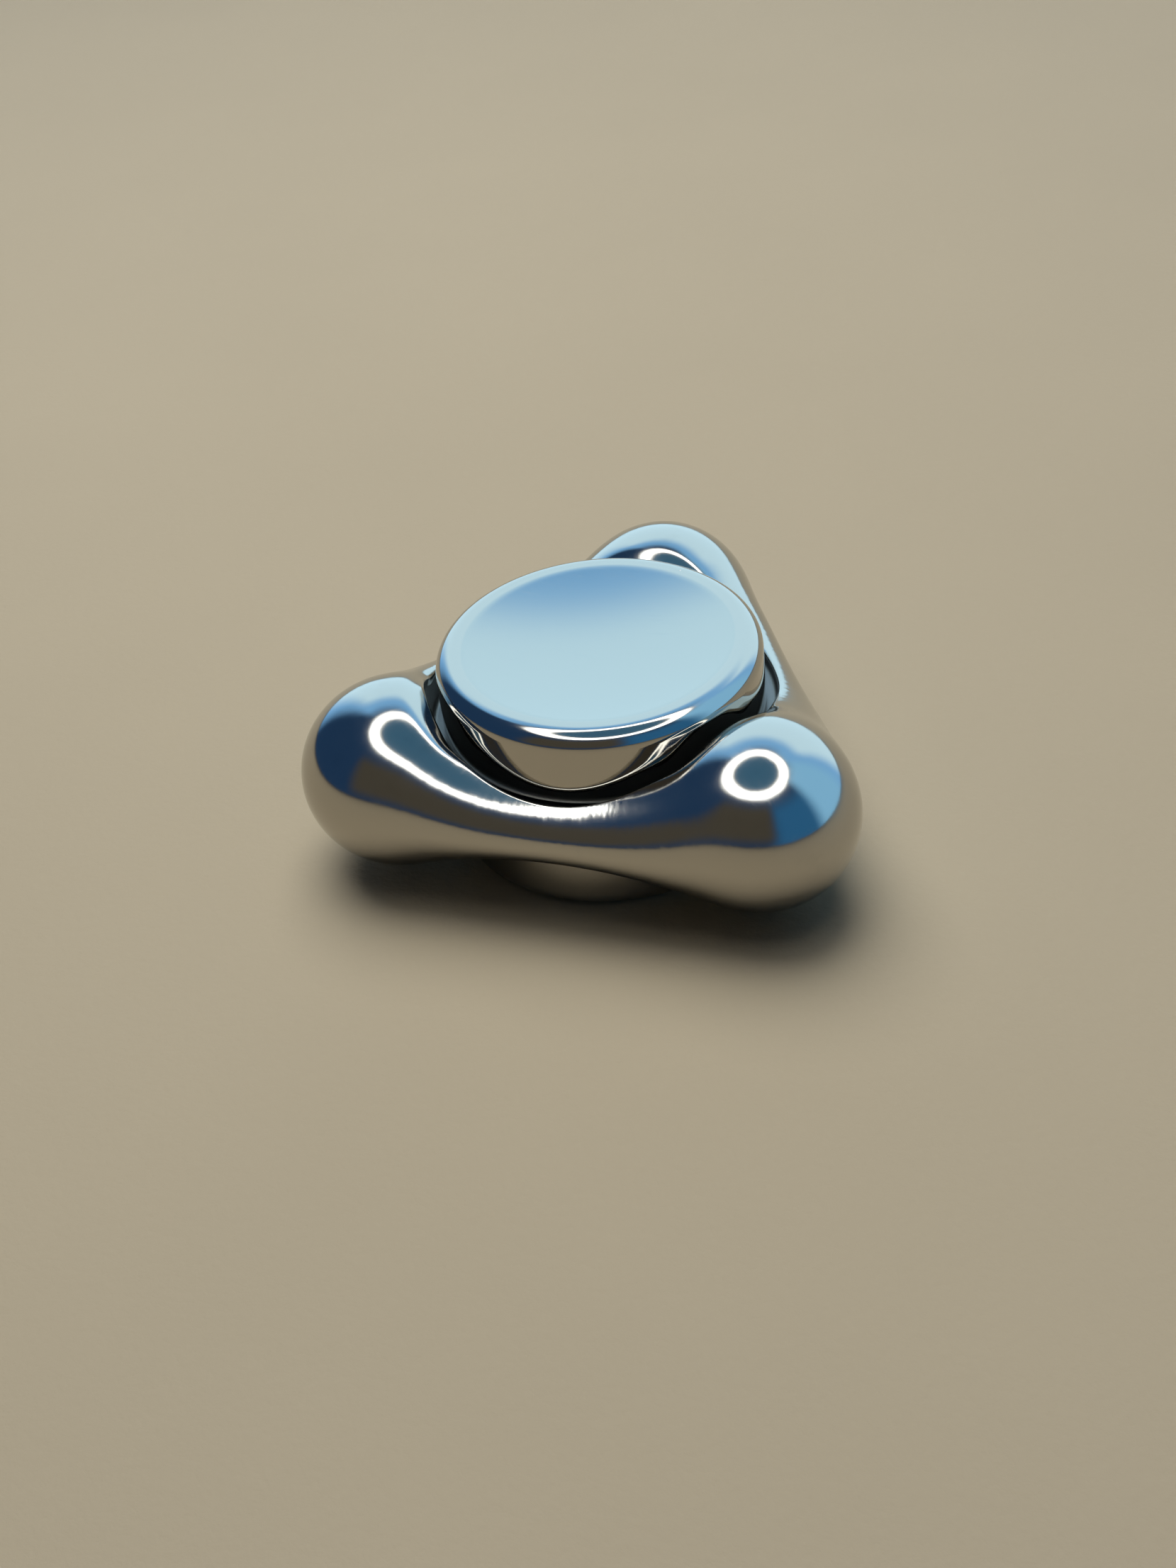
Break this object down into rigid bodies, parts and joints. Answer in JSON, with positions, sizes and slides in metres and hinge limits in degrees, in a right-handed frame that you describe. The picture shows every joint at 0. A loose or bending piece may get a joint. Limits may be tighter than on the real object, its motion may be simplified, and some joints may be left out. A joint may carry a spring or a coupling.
{
  "type": "fidget spinner",
  "caption": "Mirror-polished three-lobed fidget spinner whose blended steel body turns on a shielded ball bearing between two dished thumb caps.",
  "frame": {"origin": "centre of the bearing, on the spin axis at half height", "axes": "+Z along the spin axis towards the top cap, one lobe points to +Y"},
  "size_m": [0.0418, 0.0381, 0.0156],
  "materials": {
    "polished_steel": "mirror-polished stainless steel",
    "cap_steel": "polished edge and skirt with a satin dished thumb face",
    "black_steel": "black oxide grub screw",
    "spring_steel": "oiled spring steel",
    "race_steel": "ground bearing steel",
    "cage_steel": "pressed steel cage",
    "sheet_steel": "pressed stainless sheet",
    "ball_steel": "lapped bearing balls"
  },
  "bodies": {
    "held_hub": {"top_cap": "cap_steel", "bottom_cap": "cap_steel", "clamp_stud": "black_steel", "bearing_inner_race": "race_steel"},
    "rotor": {"spinner_body": "polished_steel", "bearing_outer_race": "race_steel", "bearing_clip": "spring_steel", "upper_shield": "sheet_steel", "lower_shield": "sheet_steel", "upper_shield_wire": "spring_steel", "lower_shield_wire": "spring_steel"},
    "cage": {"bearing_cage": "cage_steel"},
    "ball_01": {"bearing_ball_01": "ball_steel"},
    "ball_02": {"bearing_ball_02": "ball_steel"},
    "ball_03": {"bearing_ball_03": "ball_steel"},
    "ball_04": {"bearing_ball_04": "ball_steel"},
    "ball_05": {"bearing_ball_05": "ball_steel"},
    "ball_06": {"bearing_ball_06": "ball_steel"},
    "ball_07": {"bearing_ball_07": "ball_steel"},
    "ball_08": {"bearing_ball_08": "ball_steel"},
    "ball_09": {"bearing_ball_09": "ball_steel"},
    "ball_10": {"bearing_ball_10": "ball_steel"}
  },
  "joints": [
    {"name": "body_spin", "type": "hinge", "parent": "held_hub", "child": "rotor", "pos_m": [0, 0, 0], "axis": [0, 0, 1], "continuous": true},
    {"name": "cage_orbit", "type": "hinge", "parent": "held_hub", "child": "cage", "pos_m": [0, 0, 0], "axis": [0, 0, 1], "continuous": true},
    {"name": "ball_01_roll", "type": "hinge", "parent": "cage", "child": "ball_01", "pos_m": [0.00476, 0, 0], "axis": [0, 0, 1], "continuous": true},
    {"name": "ball_02_roll", "type": "hinge", "parent": "cage", "child": "ball_02", "pos_m": [0.00385, 0.0028, 0], "axis": [0, 0, 1], "continuous": true},
    {"name": "ball_03_roll", "type": "hinge", "parent": "cage", "child": "ball_03", "pos_m": [0.00147, 0.00453, 0], "axis": [0, 0, 1], "continuous": true},
    {"name": "ball_04_roll", "type": "hinge", "parent": "cage", "child": "ball_04", "pos_m": [-0.00147, 0.00453, 0], "axis": [0, 0, 1], "continuous": true},
    {"name": "ball_05_roll", "type": "hinge", "parent": "cage", "child": "ball_05", "pos_m": [-0.00385, 0.0028, 0], "axis": [0, 0, 1], "continuous": true},
    {"name": "ball_06_roll", "type": "hinge", "parent": "cage", "child": "ball_06", "pos_m": [-0.00476, 0, 0], "axis": [0, 0, 1], "continuous": true},
    {"name": "ball_07_roll", "type": "hinge", "parent": "cage", "child": "ball_07", "pos_m": [-0.00385, -0.0028, 0], "axis": [0, 0, 1], "continuous": true},
    {"name": "ball_08_roll", "type": "hinge", "parent": "cage", "child": "ball_08", "pos_m": [-0.00147, -0.00453, 0], "axis": [0, 0, 1], "continuous": true},
    {"name": "ball_09_roll", "type": "hinge", "parent": "cage", "child": "ball_09", "pos_m": [0.00147, -0.00453, 0], "axis": [0, 0, 1], "continuous": true},
    {"name": "ball_10_roll", "type": "hinge", "parent": "cage", "child": "ball_10", "pos_m": [0.00385, -0.0028, 0], "axis": [0, 0, 1], "continuous": true}
  ],
  "couplings": [
    {"joint": "cage_orbit", "follows": "body_spin", "ratio": 0.58333},
    {"joint": "ball_01_roll", "follows": "body_spin", "ratio": 2.9167},
    {"joint": "ball_02_roll", "follows": "body_spin", "ratio": 2.9167},
    {"joint": "ball_03_roll", "follows": "body_spin", "ratio": 2.9167},
    {"joint": "ball_04_roll", "follows": "body_spin", "ratio": 2.9167},
    {"joint": "ball_05_roll", "follows": "body_spin", "ratio": 2.9167},
    {"joint": "ball_06_roll", "follows": "body_spin", "ratio": 2.9167},
    {"joint": "ball_07_roll", "follows": "body_spin", "ratio": 2.9167},
    {"joint": "ball_08_roll", "follows": "body_spin", "ratio": 2.9167},
    {"joint": "ball_09_roll", "follows": "body_spin", "ratio": 2.9167},
    {"joint": "ball_10_roll", "follows": "body_spin", "ratio": 2.9167}
  ]
}
